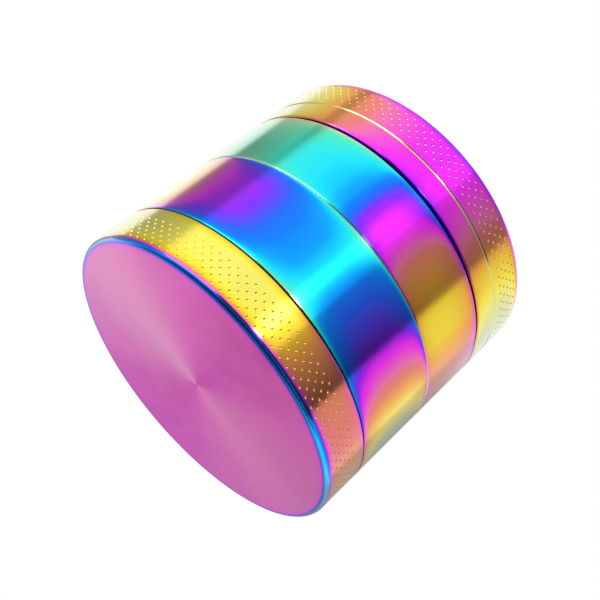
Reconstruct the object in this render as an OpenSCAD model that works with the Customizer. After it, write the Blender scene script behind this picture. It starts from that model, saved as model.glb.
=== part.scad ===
// Hand grinder made of four metal sections stacked on one axis: a lid, a grinding chamber,
// a sieve chamber and a catcher. The axis is +Z, and the catcher's underside lies at z = 0.
// The two lower joints are right-hand threads. The lid turns freely on a nylon ring.

/* [Outside] */
// Outer diameter of all four sections
outer_d = 50; // [48:0.5:56]
// Height of the catcher's outer wall
catcher_h = 7.6; // [7.5:0.1:12]
// Height of the sieve chamber's outer wall
sieve_h = 14.1; // [12:0.1:20]
// Height of the grinding chamber's outer wall
chamber_h = 11.5; // [9:0.1:16]
// Height of the lid's outer wall
lid_h = 10.4; // [9.5:0.1:13]
// Rounding round the two outer end faces
end_round = 0.8; // [0.5:0.1:1.4]
// Rounding of the outer edges where two sections meet
seam_round = 0.25; // [0.1:0.05:0.4]
// Height of the lid's groove above the lid's rim
groove_z = 4.1; // [3:0.1:5]
// Width of the lid's groove
groove_w = 0.45; // [0.3:0.05:0.8]
// Depth of the lid's groove
groove_depth = 0.12; // [0.08:0.02:0.4]

/* [Walls] */
// Thickness of the catcher's floor
catcher_floor = 1.8; // [1.2:0.1:2.2]
// Thickness of the grinding chamber's floor
chamber_floor = 2.4; // [1.6:0.1:3]
// Thickness of the lid's top
lid_top = 2.2; // [1.6:0.1:3]
// Wall of the lid's skirt
lid_wall = 1.9; // [1.5:0.05:2.4]
// Wall left outside a threaded mouth
mouth_wall = 2.1; // [1.6:0.05:2.6]
// Wall of a threaded spigot below its ridge
spigot_wall = 1.8; // [1.4:0.05:2.4]
// Wall of the catcher and the sieve chamber around their bowls
bowl_wall = 3.2; // [2.8:0.1:4]
// Fillet in the corner of a bowl's floor
bowl_fillet = 1; // [0.4:0.1:1.1]

/* [Threads] */
// Rise of one turn of thread
thread_lead = 2; // [1.8:0.1:2.4]
// Height of the thread's ridge off its wall
thread_depth = 0.6; // [0.5:0.05:0.8]
// Width of the ridge at its foot
thread_foot = 1; // [0.7:0.05:1.1]
// Width of the ridge at its crest
thread_crest = 0.5; // [0.3:0.05:0.6]
// Turns of ridge on each thread
thread_turns = 1.25; // [1:0.05:1.3]
// Radial clearance between a spigot and its mouth
thread_gap = 0.2; // [0.15:0.05:0.3]
// Length of a threaded spigot
spigot_len = 4.2; // [4:0.1:4.6]
// Clearance under a spigot's end
spigot_end_gap = 0.4; // [0.2:0.1:0.6]
// Bevel at the ends of spigots, mouths and the neck
lead_in = 0.3; // [0.1:0.05:0.5]

/* [Lid seat] */
// Thickness of the nylon ring's sleeve
ring_wall = 0.9; // [0.7:0.05:1.2]
// Height of the nylon ring's sleeve
ring_h = 3.4; // [2:0.1:5]
// Thickness of the nylon ring's flange, which the lid's rim rests on
ring_flange = 0.4; // [0.3:0.05:0.8]
// Distance from the outer wall to the flange's edge
flange_inset = 0.9; // [0.5:0.05:1]
// Radial clearance between the lid's bore and the nylon ring
lid_gap = 0.08; // [0.02:0.02:0.1]
// Radial and axial clearance between the nylon ring and its groove
ring_gap = 0.06; // [0.02:0.02:0.1]
// Depth of the groove that the nylon ring sits in
neck_step = 0.5; // [0.3:0.05:0.6]
// Wall of the neck behind the nylon ring
neck_wall = 1.7; // [1.4:0.05:2.4]
// Clearance between the neck's top and the lid's ceiling
neck_top_gap = 0.6; // [0.3:0.1:1.2]

/* [Teeth and holes] */
// Width of a tooth along the radius
tooth_w = 2.4; // [1.8:0.1:2.6]
// Length of a tooth round the circle
tooth_l = 4.2; // [3:0.1:5]
// Flat left at a tooth's tip
tooth_tip = 1.6; // [0.8:0.1:2.6]
// Bevel at a tooth's tip
tooth_bevel = 1.4; // [0.6:0.1:2]
// Distance between neighbouring rings of teeth
lane_pitch = 3.2; // [3:0.1:3.6]
// Clearance between a ring of teeth and the wall or the post
tooth_gap = 0.6; // [0.4:0.1:1]
// Clearance between a tooth's tip and the face that it points at
tip_gap = 1.2; // [0.6:0.1:2]
// Spacing of teeth along their ring
tooth_pitch = 9.6; // [8:0.2:12]
// Diameter of a drop hole
hole_d = 3.2; // [2.4:0.1:3.4]
// Spacing of drop holes along their ring
hole_pitch = 7.3; // [6:0.1:10]

/* [Magnets] */
// Diameter of a magnet
magnet_d = 8; // [6:0.5:9]
// Thickness of a magnet
magnet_h = 2; // [1.5:0.5:3]
// Radial clearance between a magnet and its pocket
magnet_fit = 0.05; // [0.02:0.01:0.1]
// Wall of the posts round the magnets
post_wall = 1.4; // [1:0.1:2]
// Height of the grinding chamber's post above its floor
post_h = 9; // [6:0.5:11]
// Distance between the two magnets when the lid is on
magnet_gap = 0.6; // [0.3:0.1:1.5]

/* [Screen] */
// Height of the screen's ledge above the sieve chamber's shoulder
ledge_z = 0.8; // [0.4:0.1:1.4]
// Thickness of the ledge
ledge_t = 1.2; // [1:0.1:1.6]
// How far the ledge reaches under the screen
ledge_w = 2.8; // [2:0.1:3.4]
// Thickness of the screen
screen_t = 0.4; // [0.3:0.1:0.6]
// Width of a bar between the screen's openings
screen_bar = 0.5; // [0.4:0.1:0.8]
// Spacing of the screen's bars
screen_pitch = 2.5; // [2.2:0.1:4]
// Height of the ring that holds the screen down
screen_ring_h = 1.2; // [0.8:0.1:2]
// Radial clearance round the screen and its ring
screen_fit = 0.1; // [0.05:0.05:0.2]

/* [Scraper] */
// Distance from the scraper's middle to each of its rounded corners' centres
scraper_reach = 7; // [5:0.5:9]
// Radius of the scraper's two blunt corners
scraper_corner_r = 3.2; // [2.4:0.2:4]
// Radius of the scraper's pointed corner
scraper_tip_r = 1.4; // [1:0.2:2]
// Thickness of the scraper
scraper_t = 1.2; // [1:0.1:1.4]

/* [Hidden] */
$fn = 120;
steps_per_turn = 40; // steps of the ridge in one turn
ridge_root = 0.25; // how far a ridge's foot goes into its wall
ridge_ramp = 4; // steps over which a ridge rises to its full height
ridge_end = 0.1; // share of its full height that a ridge has at its two ends
tooth_root = 0.5; // how far a tooth's foot goes into its floor or ceiling
arc_steps = 6; // steps of a rounded edge
small_fn = 32; // sides of a small hole or corner
over = 1; // how far a cutting shape stands past the face that it cuts

outer_r = outer_d / 2;

// heights of the seams, counted up from the underside
catcher_top = catcher_h;
sieve_top = catcher_top + sieve_h;
chamber_top = sieve_top + chamber_h;
lid_rim = chamber_top + ring_flange;
lid_end = lid_rim + lid_h;

// threads: a mouth's bore, and the spigot inside it
mouth_r = outer_r - mouth_wall;
mouth_depth = spigot_len + spigot_end_gap;
spigot_crest_r = mouth_r - thread_gap;
spigot_r = spigot_crest_r - thread_depth;
spigot_bore_r = spigot_r - spigot_wall;
ridge_rise = thread_lead * thread_turns;
// the ridge's lowest turn starts here, counted from the seam
ridge_start = -(spigot_len + ridge_rise) / 2;

// bowls
bowl_r = outer_r - bowl_wall;
chamber_floor_top = sieve_top + chamber_floor;

// the lid, the nylon ring in its bore, and the neck inside the ring
lid_bore_r = outer_r - lid_wall;
lid_ceiling = lid_end - lid_top;
ring_r = lid_bore_r - lid_gap;
ring_bore_r = ring_r - ring_wall;
ring_seat_r = ring_bore_r - ring_gap;
neck_r = ring_seat_r + neck_step;
neck_end = lid_ceiling - neck_top_gap;
pocket_r = ring_seat_r - neck_wall;
flange_r = outer_r - flange_inset;

// magnets and their posts
magnet_r = magnet_d / 2;
magnet_pocket_r = magnet_r + magnet_fit;
post_r = magnet_pocket_r + post_wall;
chamber_post_end = chamber_floor_top + post_h;
lid_post_end = chamber_post_end + magnet_gap;

// rings of teeth, from the wall inwards: even ones on the lid, odd ones on the chamber
lane_r0 = pocket_r - tooth_gap - tooth_w / 2;
lane_last_r = post_r + tooth_gap + tooth_w / 2;
lanes = floor((lane_r0 - lane_last_r) / lane_pitch) + 1;
tooth_h = lid_ceiling - chamber_floor_top - tip_gap;

// screen
screen_z = catcher_top + ledge_z;
screen_r = bowl_r - screen_fit;
ledge_r = bowl_r - ledge_w;

function lane_r(i) = lane_r0 - i * lane_pitch;
function copies(r, pitch) = round(2 * PI * r / pitch);

// Points of an arc about [r, z], from angle a0 to angle a1
function arc(r, z, radius, a0, a1) =
    [for (i = [0:arc_steps])
        let (a = a0 + (a1 - a0) * i / arc_steps)
        [r + radius * cos(a), z + radius * sin(a)]];

// Outer wall between two heights, from the bottom up, with its own rounding at each end
function outer_wall(z0, z1, round0, round1) = concat(
    arc(outer_r - round0, z0 + round0, round0, -90, 0),
    arc(outer_r - round1, z1 - round1, round1, 0, 90));

// Threaded mouth, from its rim down to its floor, where the bowl begins
function mouth(top) = [
    [mouth_r + lead_in, top],
    [mouth_r, top - lead_in],
    [mouth_r, top - mouth_depth],
    [bowl_r, top - mouth_depth]];

// Threaded spigot below a shoulder, from its bore round to the shoulder
function spigot(shoulder) = [
    [spigot_bore_r, shoulder - spigot_len],
    [spigot_r - lead_in, shoulder - spigot_len],
    [spigot_r, shoulder - spigot_len + lead_in],
    [spigot_r, shoulder]];

// Height of the ridge at step i: it ramps up at both ends
function ridge_height(i, last) =
    thread_depth * max(ridge_end, min(1, i / ridge_ramp, (last - i) / ridge_ramp));

// A list of a face's corners, taken the other way round
function backwards(face) = [for (k = [len(face) - 1:-1:0]) face[k]];

// A right-hand helical ridge. dir is 1 for a ridge that stands outwards, and -1 for inwards
module ridge(wall_r, seam, dir, turn) {
    last = round(thread_turns * steps_per_turn);
    points = [for (i = [0:last])
        let (a = turn + 360 * i / steps_per_turn,
             z = seam + ridge_start + thread_lead * i / steps_per_turn,
             foot = wall_r - dir * ridge_root,
             crest = wall_r + dir * ridge_height(i, last))
        for (p = [[foot, -thread_foot], [crest, -thread_crest], [crest, thread_crest], [foot, thread_foot]])
            [p[0] * cos(a), p[0] * sin(a), z + p[1] / 2]];
    sides = [for (i = [0:last - 1], k = [0:3])
        let (a = 4 * i + k, b = 4 * i + (k + 1) % 4)
        for (face = [[a, b, b + 4], [a, b + 4, a + 4]]) face];
    ends = [[3, 2, 1, 0], [for (k = [0:3]) 4 * last + k]];
    polyhedron(points, [for (face = concat(sides, ends)) dir > 0 ? face : backwards(face)]);
}

// One tooth standing on z = 0, with its root below: a diamond with its tip bevelled along its length
module tooth() {
    intersection() {
        translate([0, 0, -tooth_root])
            linear_extrude(tooth_root + tooth_h)
                polygon([[tooth_w / 2, 0], [0, tooth_l / 2], [-tooth_w / 2, 0], [0, -tooth_l / 2]]);
        rotate([90, 0, 90])
            translate([0, 0, -tooth_w])
                linear_extrude(2 * tooth_w)
                    polygon([[-tooth_l, -over], [tooth_l, -over], [tooth_l / 2, tooth_h - tooth_bevel],
                             [tooth_tip / 2, tooth_h], [-tooth_tip / 2, tooth_h],
                             [-tooth_l / 2, tooth_h - tooth_bevel]]);
    }
}

// Every second ring of teeth, starting with ring number first
module teeth(first) {
    for (i = [first:2:lanes - 1]) {
        n = copies(lane_r(i), tooth_pitch);
        for (k = [0:n - 1])
            rotate(360 * (k + 0.5) / n)
                translate([lane_r(i), 0, 0])
                    tooth();
    }
}

// Drop holes through the chamber's floor, under the lid's rings of teeth
module drop_holes() {
    for (i = [0:2:lanes - 1]) {
        n = copies(lane_r(i), hole_pitch);
        for (k = [0:n - 1])
            rotate(360 * k / n)
                translate([lane_r(i), 0, sieve_top - over])
                    cylinder(h = chamber_floor + 2 * over, d = hole_d, $fn = small_fn);
    }
}

module catcher() {
    color("goldenrod") {
        rotate_extrude()
            polygon(concat(
                [[0, 0]],
                outer_wall(0, catcher_top, end_round, seam_round),
                mouth(catcher_top),
                arc(bowl_r - bowl_fillet, catcher_floor + bowl_fillet, bowl_fillet, 0, -90),
                [[0, catcher_floor]]));
        ridge(mouth_r, catcher_top, -1, 180);
    }
}

// A flat rounded triangle that lies loose on the catcher's floor
module scraper() {
    color("dimgray")
        translate([0, 0, catcher_floor])
            hull() {
                translate([scraper_reach, 0, 0])
                    cylinder(h = scraper_t, r = scraper_tip_r, $fn = small_fn);
                for (side = [-1, 1])
                    rotate(side * 120)
                        translate([scraper_reach, 0, 0])
                            cylinder(h = scraper_t, r = scraper_corner_r, $fn = small_fn);
            }
}

module sieve_chamber() {
    color("royalblue") {
        rotate_extrude()
            polygon(concat(
                spigot(catcher_top),
                outer_wall(catcher_top, sieve_top, seam_round, seam_round),
                mouth(sieve_top),
                [[bowl_r, screen_z], [ledge_r, screen_z],
                 [ledge_r, screen_z - ledge_t], [spigot_bore_r, screen_z - ledge_t]]));
        ridge(spigot_r, catcher_top, 1, 0);
        ridge(mouth_r, sieve_top, -1, 180);
    }
}

// Steel sieve, with a plain border where the ring clamps it
module screen() {
    reach = ceil(ledge_r / screen_pitch);
    opening = screen_pitch - screen_bar;
    color("silver")
        translate([0, 0, screen_z])
            linear_extrude(screen_t)
                difference() {
                    circle(r = screen_r);
                    intersection() {
                        circle(r = ledge_r - screen_bar);
                        for (i = [-reach:reach], k = [-reach:reach])
                            translate([i * screen_pitch, k * screen_pitch])
                                square(opening, center = true);
                    }
                }
}

module screen_ring() {
    color("slategray")
        translate([0, 0, screen_z + screen_t])
            rotate_extrude()
                translate([ledge_r, 0])
                    square([screen_r - ledge_r, screen_ring_h]);
}

module grinding_chamber() {
    color("mediumturquoise") {
        difference() {
            rotate_extrude()
                polygon(concat(
                    [[0, sieve_top], [spigot_bore_r, sieve_top]],
                    spigot(sieve_top),
                    outer_wall(sieve_top, chamber_top, seam_round, seam_round),
                    [[ring_seat_r, chamber_top],
                     [ring_seat_r, chamber_top + ring_h + ring_gap],
                     [neck_r, chamber_top + ring_h + ring_gap],
                     [neck_r, neck_end - lead_in],
                     [neck_r - lead_in, neck_end],
                     [pocket_r, neck_end],
                     [pocket_r, chamber_floor_top],
                     [post_r, chamber_floor_top],
                     [post_r, chamber_post_end],
                     [magnet_pocket_r, chamber_post_end],
                     [magnet_pocket_r, chamber_post_end - magnet_h],
                     [0, chamber_post_end - magnet_h]]));
            drop_holes();
        }
        ridge(spigot_r, sieve_top, 1, 0);
        translate([0, 0, chamber_floor_top])
            teeth(1);
    }
}

module chamber_magnet() {
    color("gainsboro")
        translate([0, 0, chamber_post_end - magnet_h])
            cylinder(h = magnet_h, r = magnet_r);
}

// Sleeve round the neck's root, with a thin flange that the lid's rim rests on
module friction_ring() {
    color("black")
        rotate_extrude()
            polygon([[ring_bore_r, chamber_top],
                     [flange_r, chamber_top],
                     [flange_r, lid_rim],
                     [ring_r, lid_rim],
                     [ring_r, chamber_top + ring_h],
                     [ring_bore_r, chamber_top + ring_h]]);
}

module lid() {
    groove = lid_rim + groove_z;
    color("orchid") {
        rotate_extrude()
            polygon(concat(
                [[lid_bore_r, lid_rim + lead_in], [lid_bore_r + lead_in, lid_rim]],
                arc(outer_r - seam_round, lid_rim + seam_round, seam_round, -90, 0),
                [[outer_r, groove - groove_w / 2],
                 [outer_r - groove_depth, groove],
                 [outer_r, groove + groove_w / 2]],
                arc(outer_r - end_round, lid_end - end_round, end_round, 0, 90),
                [[0, lid_end],
                 [0, lid_post_end + magnet_h],
                 [magnet_pocket_r, lid_post_end + magnet_h],
                 [magnet_pocket_r, lid_post_end],
                 [post_r, lid_post_end],
                 [post_r, lid_ceiling],
                 [lid_bore_r, lid_ceiling]]));
        translate([0, 0, lid_ceiling])
            mirror([0, 0, 1])
                teeth(0);
    }
}

module lid_magnet() {
    color("gainsboro")
        translate([0, 0, lid_post_end])
            cylinder(h = magnet_h, r = magnet_r);
}

catcher();
scraper();
sieve_chamber();
screen();
screen_ring();
grinding_chamber();
chamber_magnet();
friction_ring();
lid();
lid_magnet();
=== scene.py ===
# %% [markdown]
# A hand grinder with a rainbow coating
#
# Four sections of cast zinc are stacked on one axis: a catcher, a sieve chamber, a grinding
# chamber and a lid. Each was turned on a lathe, polished and given a hard coating so thin that
# light interferes in it, so its colour depends on how thick the coating grew at each place.
# Every shape here is worked out in millimetres and scaled to metres as its mesh is made.

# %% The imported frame
import math
from collections import namedtuple

import bmesh
import bpy
import numpy as np
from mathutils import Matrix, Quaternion, Vector


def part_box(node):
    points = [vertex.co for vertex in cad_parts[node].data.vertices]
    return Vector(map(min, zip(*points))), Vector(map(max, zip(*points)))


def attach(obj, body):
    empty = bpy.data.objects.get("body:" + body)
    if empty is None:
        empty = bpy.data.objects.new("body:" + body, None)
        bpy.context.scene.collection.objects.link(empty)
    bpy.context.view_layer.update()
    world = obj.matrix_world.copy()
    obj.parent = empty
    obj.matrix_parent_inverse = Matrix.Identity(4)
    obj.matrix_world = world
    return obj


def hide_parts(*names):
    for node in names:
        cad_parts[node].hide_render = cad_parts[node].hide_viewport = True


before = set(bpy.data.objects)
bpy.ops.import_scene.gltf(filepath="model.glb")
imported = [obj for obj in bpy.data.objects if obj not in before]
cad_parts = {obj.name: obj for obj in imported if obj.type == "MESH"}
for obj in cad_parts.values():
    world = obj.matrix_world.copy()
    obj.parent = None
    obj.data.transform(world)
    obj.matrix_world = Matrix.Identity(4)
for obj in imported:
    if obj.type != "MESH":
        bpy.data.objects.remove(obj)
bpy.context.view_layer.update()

MM = 0.001
TURN = 360.0         # degrees


def new_object(name, data):
    """A new object at the origin, put into the scene."""
    thing = bpy.data.objects.new(name, data)
    bpy.context.scene.collection.objects.link(thing)
    return thing


# %% [markdown]
# The camera
#
# The grinder is looked at from below its front, with the camera rolled, so that it seems to lie
# on its side with its underside in view. The camera is placed by an aim on the object and a place
# of its own, and its roll is turned about the line of sight at the end.

# %% Camera
CAMERA_AIM = Vector((0.3, 0, 21.8)) * MM
CAMERA_PLACE = Vector((0, -142.0, -54.5)) * MM
CAMERA_ROLL = math.radians(49.8)
LENS = 63.0          # mm, on a sensor 36 mm wide

camera_data = bpy.data.cameras.new("camera")
camera_data.lens = LENS
camera_data.sensor_width = 36
camera_data.clip_start = 0.01
camera = new_object("camera", camera_data)
line_of_sight = (CAMERA_AIM - CAMERA_PLACE).to_track_quat("-Z", "Y")
camera.rotation_mode = "QUATERNION"
camera.rotation_quaternion = line_of_sight @ Quaternion((0, 0, 1), CAMERA_ROLL)
camera.location = CAMERA_PLACE
bpy.context.scene.camera = camera
bpy.context.scene.view_settings.view_transform = "Standard"
print("camera at", tuple(round(value, 4) for value in camera.location))

# %% [markdown]
# Nodes and colours
#
# One helper adds any shader node with its settings and its sockets, and one turns a colour as it
# is read off a screen (sRGB) into the linear values that a renderer reckons with. The others are
# short names for nodes and steps that come up again and again.


# %% Helpers for materials
def add(tree, kind, sockets=None, **settings):
    """Add a node. settings are its properties; sockets gives each input a value or a link."""
    new = tree.nodes.new(kind)
    for key, value in settings.items():
        setattr(new, key, value)
    for key, value in (sockets or {}).items():
        if isinstance(value, bpy.types.NodeSocket):
            tree.links.new(value, new.inputs[key])
        else:
            new.inputs[key].default_value = value
    return new


def linear(code):
    """sRGB hex to linear. A channel c is c / 12.92 near black, else ((c + 0.055) / 1.055) ^ 2.4."""
    channels = [int(code[i:i + 2], 16) / 255 for i in (0, 2, 4)]
    return [c / 12.92 if c <= 0.04045 else ((c + 0.055) / 1.055) ** 2.4 for c in channels] + [1.0]


def ramp(tree, place, stops, interpolation="LINEAR"):
    """A ramp through (position, value) stops, where a value is a number or a colour."""
    new = add(tree, "ShaderNodeValToRGB", {0: place})
    new.color_ramp.interpolation = interpolation
    elements = new.color_ramp.elements
    while len(elements) < len(stops):
        elements.new(1.0)
    for element, (position, value) in zip(elements, stops):
        element.position = position
        element.color = linear(value) if isinstance(value, str) else (value, value, value, 1.0)
    return new.outputs["Color"]


def maths(tree, operation, *values, **settings):
    """The result of a maths node."""
    return add(tree, "ShaderNodeMath", dict(enumerate(values)), operation=operation, **settings).outputs[0]


def plus(tree, a, b):
    return maths(tree, "ADD", a, b)


def times(tree, a, b):
    return maths(tree, "MULTIPLY", a, b)


def rescale(tree, value, old, new=(0, 1), **settings):
    """Carry a value from the old range to the new one, and hold it within that."""
    sockets = {0: value, 1: old[0], 2: old[1], 3: new[0], 4: new[1]}
    return add(tree, "ShaderNodeMapRange", sockets, **settings).outputs[0]


def mixed(tree, share, a, b):
    """The value a where the share is 0, and b where it is 1."""
    return add(tree, "ShaderNodeMix", {"Factor": share, "A": a, "B": b}).outputs[0]


def curve(tree, value, stops):
    """A smooth curve through (value, result) stops, where the first value is 0."""
    reach = stops[-1][0]
    shares = [(place / reach, result) for place, result in stops]
    return ramp(tree, rescale(tree, value, (0, reach)), shares, "CARDINAL")


def noise(tree, place, size, detail):
    """Soft noise from 0 to 1, in patches of about the given size in millimetres."""
    sockets = {"Vector": place, "Scale": 1 / (size * MM), "Detail": detail}
    return add(tree, "ShaderNodeTexNoise", sockets).outputs["Fac"]


def new_material(name):
    """An empty material and its node tree."""
    material = bpy.data.materials.new(name)
    material.use_nodes = True
    material.node_tree.nodes.clear()
    return material, material.node_tree


def object_place(tree):
    """Where a point lies on its piece, which stays the same as the piece moves."""
    return add(tree, "ShaderNodeTexCoord").outputs["Object"]


def principled(tree, sockets):
    """Show a principled surface with these sockets."""
    surface = add(tree, "ShaderNodeBsdfPrincipled", sockets)
    add(tree, "ShaderNodeOutputMaterial", {"Surface": surface.outputs[0]})


def partly_clear(tree, cover, surface):
    """Show a surface where the cover is 1, and nothing where it is 0."""
    clear = add(tree, "ShaderNodeBsdfTransparent")
    both = add(tree, "ShaderNodeMixShader", {0: cover, 1: clear.outputs[0], 2: surface.outputs[0]})
    add(tree, "ShaderNodeOutputMaterial", {"Surface": both.outputs[0]})


def grained(name, grain_mm, stops):
    """A material whose tone follows fine noise: the material, its tree, the noise and the tone."""
    material, tree = new_material(name)
    grain = noise(tree, object_place(tree), grain_mm, 2.0)
    return material, tree, grain, ramp(tree, grain, stops)


# %% [markdown]
# The studio
#
# Polished metal shows nothing but its surroundings, so the studio is most of its look. The world
# is an even white tent. Inside it stand cards that only the metal's reflections see: bright
# panels, small glints, grey cards and dark flags. They give the metal its light and dark bands.
# Each is a patch of a big sphere round the object, so its place is just two azimuths and two
# elevations.

# %% World
TENT_LIGHT = 0.78    # strength for matt surfaces, where the camera and the metal see 1

world = bpy.data.worlds.new("tent")
bpy.context.scene.world = world
world.use_nodes = True
tree = world.node_tree
tree.nodes.clear()
path = add(tree, "ShaderNodeLightPath").outputs
seen = maths(tree, "MAXIMUM", path["Is Camera Ray"], path["Is Glossy Ray"])
seen = maths(tree, "MAXIMUM", seen, path["Is Transmission Ray"])
strength = rescale(tree, seen, (0, 1), (TENT_LIGHT, 1))
background = add(tree, "ShaderNodeBackground", {"Color": (1, 1, 1, 1), "Strength": strength})
add(tree, "ShaderNodeOutputWorld", {"Surface": background.outputs[0]})


# %% Cards
CARD_RADIUS = 600.0  # mm, far enough that a card hardly shifts from one end of the object to the other
CARD_GAP = 5.0       # mm between one card's sphere and the next, so that cards never coincide
CARD_STEPS = 32      # steps of a card's grid each way
FEATHER = (3.0, 6.0)  # degrees of azimuth and of elevation over which a card's edge fades


def card(name, azimuth, elevation, levels, radius):
    """A patch of a sphere: (cos e cos a, cos e sin a, sin e) for azimuths a and elevations e in
    degrees. Its brightness goes evenly from the first azimuth's level to the last one's, and it
    fades out at its edges by a smooth step of the distance to each edge over the feather."""
    azimuths = np.linspace(*azimuth, CARD_STEPS + 1)
    elevations = np.linspace(*elevation, CARD_STEPS + 1)
    a, e = np.meshgrid(azimuths, elevations, indexing="ij")
    ar, er = np.radians(a), np.radians(e)
    points = np.stack([np.cos(er) * np.cos(ar), np.cos(er) * np.sin(ar), np.sin(er)], -1) * radius * MM
    edge = np.minimum(np.minimum(a - azimuth[0], azimuth[1] - a) / FEATHER[0],
                      np.minimum(e - elevation[0], elevation[1] - e) / FEATHER[1])
    cover = np.clip(edge, 0, 1)
    cover = cover * cover * (3 - 2 * cover)
    level = np.interp(a, azimuth, levels)
    i, j = np.meshgrid(np.arange(CARD_STEPS), np.arange(CARD_STEPS), indexing="ij")
    corner = i * (CARD_STEPS + 1) + j
    faces = np.stack([corner, corner + CARD_STEPS + 1, corner + CARD_STEPS + 2, corner + 1], -1)
    mesh = bpy.data.meshes.new(name)
    mesh.from_pydata(points.reshape(-1, 3).tolist(), [], faces.reshape(-1, 4).tolist())
    mesh.attributes.new("cover", "FLOAT", "POINT").data.foreach_set("value", cover.ravel())
    mesh.attributes.new("level", "FLOAT", "POINT").data.foreach_set("value", level.ravel())
    mesh.materials.append(card_material)
    thing = new_object(name, mesh)
    thing.visible_camera = False
    thing.visible_diffuse = False
    thing.visible_transmission = False
    thing.visible_shadow = False


card_material, tree = new_material("lit_card")
cover_value = add(tree, "ShaderNodeAttribute", attribute_name="cover").outputs["Fac"]
level_value = add(tree, "ShaderNodeAttribute", attribute_name="level").outputs["Fac"]
partly_clear(tree, cover_value, add(tree, "ShaderNodeEmission", {"Strength": level_value}))

# name: azimuths from +X towards +Y, elevations, and brightness at each end, where the tent is 1
CARDS = {
    "left_edge_panel": ((112, 145), (12, 80), (1.2, 1.15)),
    "left_high_flag": ((141, 177), (33, 80), (0.9, 1.0)),
    "left_low_card": ((141, 184), (-30, 26), (0.36, 0.74)),
    "left_grey_card": ((141, 186), (20, 80), (0.28, 0.5)),
    "rim_glint": ((192, 236), (-16, 7), (6.0, 6.0)),
    "wall_glint": ((265, 275), (-4, 25), (9.0, 9.0)),
    "dark_rim_flag": ((236, 336), (-32, 8), (0.07, 0.04)),
    "key_panel": ((187, 262), (-30, 80), (1.1, 1.1)),
    "dark_high_flag": ((280, 337), (29, 80), (0.75, 0.33)),
    "key_panel_end": ((259, 287), (-30, 80), (1.1, 1.2)),
    "dark_flag": ((283, 333), (-32, 80), (0.68, 0.06)),
    "fill_panel": ((330, 390), (-32, 80), (0.78, 1.08)),
    "right_high_panel": ((386, 430), (31, 80), (1.0, 1.2)),
    "right_grey_card": ((386, 430), (-30, 80), (0.68, 0.34)),
    "face_card": ((58, 122), (-52, -2), (0.38, 1.15)),
    "back_grey_card": ((40, 150), (-8, 8), (0.22, 0.22)),
    "low_grey_card": ((120, 226), (-90, -32), (0.2, 0.06)),
    "far_ground_card": ((18, 122), (-90, -52), (0.12, 0.12)),
    "ground_card": ((220, 362), (-90, -32), (0.03, 0.03)),
}
for order, (card_name, patch) in enumerate(CARDS.items()):
    card(card_name, *patch, CARD_RADIUS + order * CARD_GAP)
print("cards", len(CARDS))

# %% [markdown]
# Floor and lamp
#
# A pale floor lies just under the object and holds its shadow. It fades into the white further
# out. It shows only from above and only to the camera: from below, the view has to pass through
# it to the grinder's underside, and the metal has to see the tent and the cards. One large soft
# lamp gives the matt parts a lit side.

# %% Floor and lamp
FLOOR_GAP = 0.2      # mm under the object
FLOOR_SIDE = 1000.0  # mm
FLOOR_FADE = (90.0, 330.0)  # mm from the axis, from where it is whole to where it is gone
LAMP_PLACE = Vector((-260, -420, 520)) * MM
LAMP_SIDE = 0.4      # m
LAMP_POWER = 3.2     # W

floor_mesh = bpy.data.meshes.new("floor")
corners = np.array([(-1, -1, 0), (1, -1, 0), (1, 1, 0), (-1, 1, 0)]) * FLOOR_SIDE / 2 - (0, 0, FLOOR_GAP)
floor_mesh.from_pydata((corners * MM).tolist(), [], [(0, 1, 2, 3)])
floor_material, tree = new_material("paper_floor")
camera_ray = add(tree, "ShaderNodeLightPath").outputs["Is Camera Ray"]
from_behind = add(tree, "ShaderNodeNewGeometry").outputs["Backfacing"]
shown = maths(tree, "SUBTRACT", camera_ray, from_behind, use_clamp=True)
away = add(tree, "ShaderNodeVectorMath", {0: object_place(tree)}, operation="LENGTH").outputs["Value"]
near = rescale(tree, away, (FLOOR_FADE[1] * MM, FLOOR_FADE[0] * MM), interpolation_type="SMOOTHSTEP")
paper = add(tree, "ShaderNodeBsdfDiffuse", {"Color": linear("F6F6F6")})
partly_clear(tree, times(tree, shown, near), paper)
floor_mesh.materials.append(floor_material)
floor = new_object("floor", floor_mesh)

lamp_data = bpy.data.lights.new("soft_lamp", "AREA")
lamp_data.size = LAMP_SIDE
lamp_data.energy = LAMP_POWER
lamp = new_object("soft_lamp", lamp_data)
lamp.location = LAMP_PLACE
lamp.rotation_mode = "QUATERNION"
lamp.rotation_quaternion = (-LAMP_PLACE).to_track_quat("-Z", "Y")
lamp.visible_glossy = False
print("floor and lamp made")

# %% [markdown]
# Driving sizes
#
# The outer wall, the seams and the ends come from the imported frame. What the frame's boxes can't
# give, such as walls, clearances and fillets, is named here as on a drawing.

# %% Sizes, in millimetres


def edges(node_name, axis):
    """The lowest and highest coordinate of a node along one axis, in millimetres."""
    low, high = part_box(node_name)
    return low[axis] / MM, high[axis] / MM


OUTER_R = edges("catcher", 0)[1]
CATCHER_TOP = edges("catcher", 2)[1]
CHAMBER_TOP, RING_TOP = edges("friction_ring", 2)
LID_END = edges("lid", 2)[1]
SCREEN_Z, SCREEN_TOP = edges("screen", 2)
SCREEN_R = edges("screen", 0)[1]
SNAP_TOP = edges("screen_ring", 2)[1]
FLANGE_R = edges("friction_ring", 0)[1]
MAGNET_R = edges("lid_magnet", 0)[1]
LOW_MAGNET, POST_END = edges("chamber_magnet", 2)
LID_POST_END, LID_MAGNET_TOP = edges("lid_magnet", 2)
CATCHER_FLOOR, SCRAPER_TOP = edges("scraper", 2)
NECK_END = edges("grinding_chamber", 2)[1]

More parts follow.
